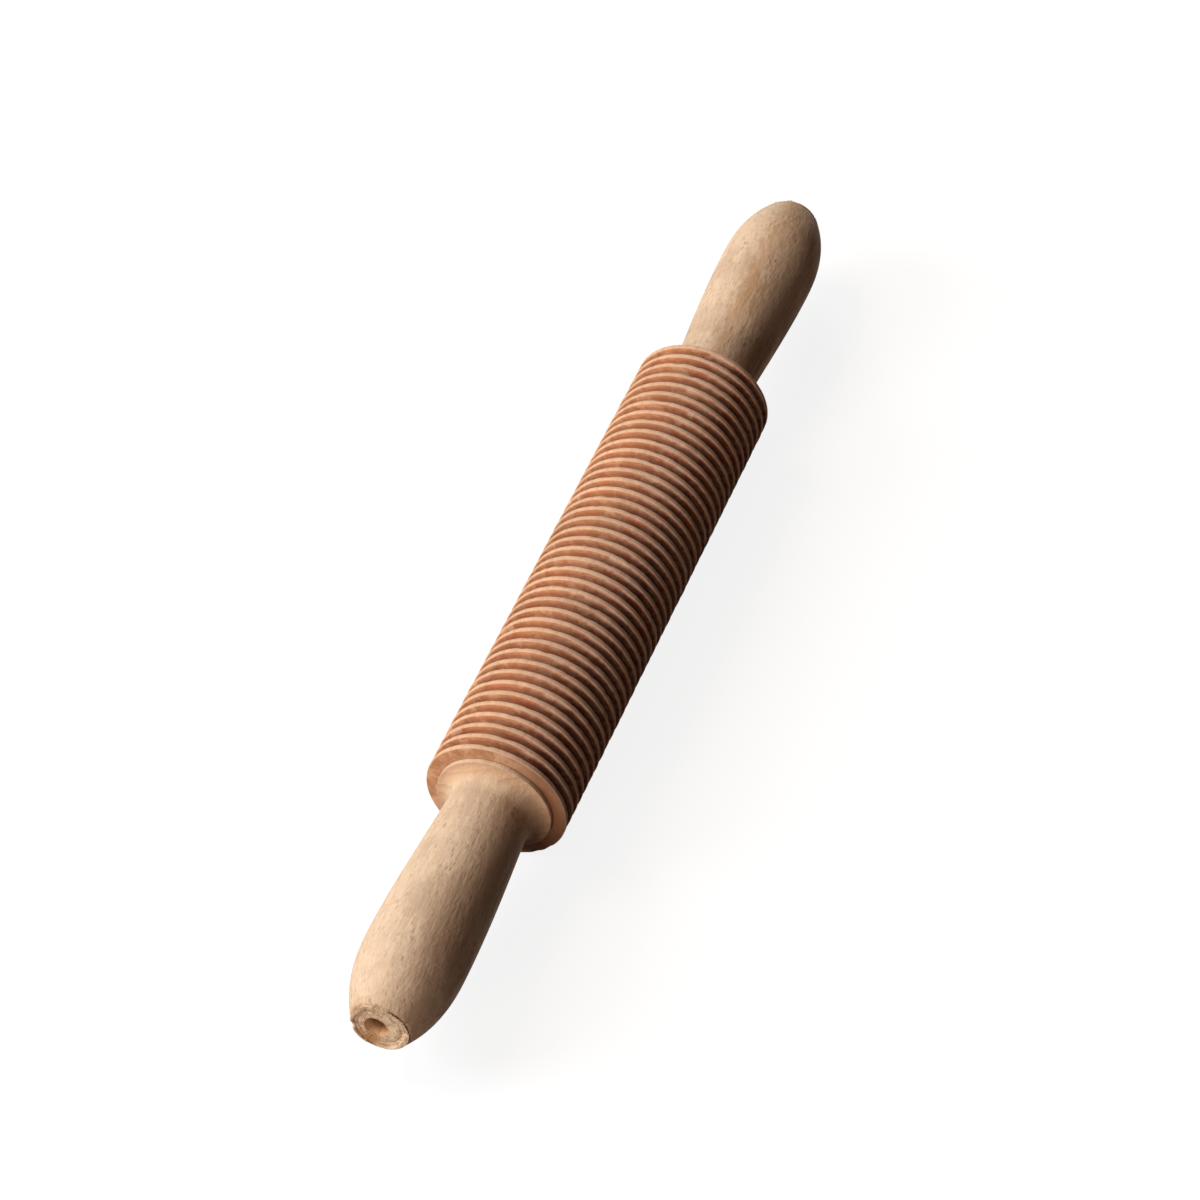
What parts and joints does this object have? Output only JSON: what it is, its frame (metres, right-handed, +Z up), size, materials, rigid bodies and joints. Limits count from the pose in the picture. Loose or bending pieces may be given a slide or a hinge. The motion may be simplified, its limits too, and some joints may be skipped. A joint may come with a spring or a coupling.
{
  "type": "pasta cutter rolling pin",
  "caption": "Wooden pasta cutter rolling pin with a ringed roller that turns on a steel axle between two turned handles.",
  "frame": {"origin": "middle of the pin, on the axle's axis", "axes": "+X along the pin, +Z up from the surface that the roller lies on"},
  "size_m": [0.32, 0.0396, 0.0396],
  "materials": {
    "roller_beech": "sanded, no varnish, reddish steamed beech",
    "handle_beech": "sanded, no varnish, pale beech",
    "bright_steel": "bright turned",
    "white_nylon": "natural white"
  },
  "bodies": {
    "handles_and_axle": {"axle": "bright_steel", "left_handle": "handle_beech", "right_handle": "handle_beech", "left_handle_screw": "bright_steel", "right_handle_screw": "bright_steel", "left_thrust_washer": "bright_steel", "right_thrust_washer": "bright_steel"},
    "roller_and_bushes": {"roller": "roller_beech", "left_bush": "white_nylon", "right_bush": "white_nylon"}
  },
  "joints": [
    {"name": "roller_spin", "type": "hinge", "parent": "handles_and_axle", "child": "roller_and_bushes", "pos_m": [0, 0, 0], "axis": [1, 0, 0], "continuous": true}
  ]
}
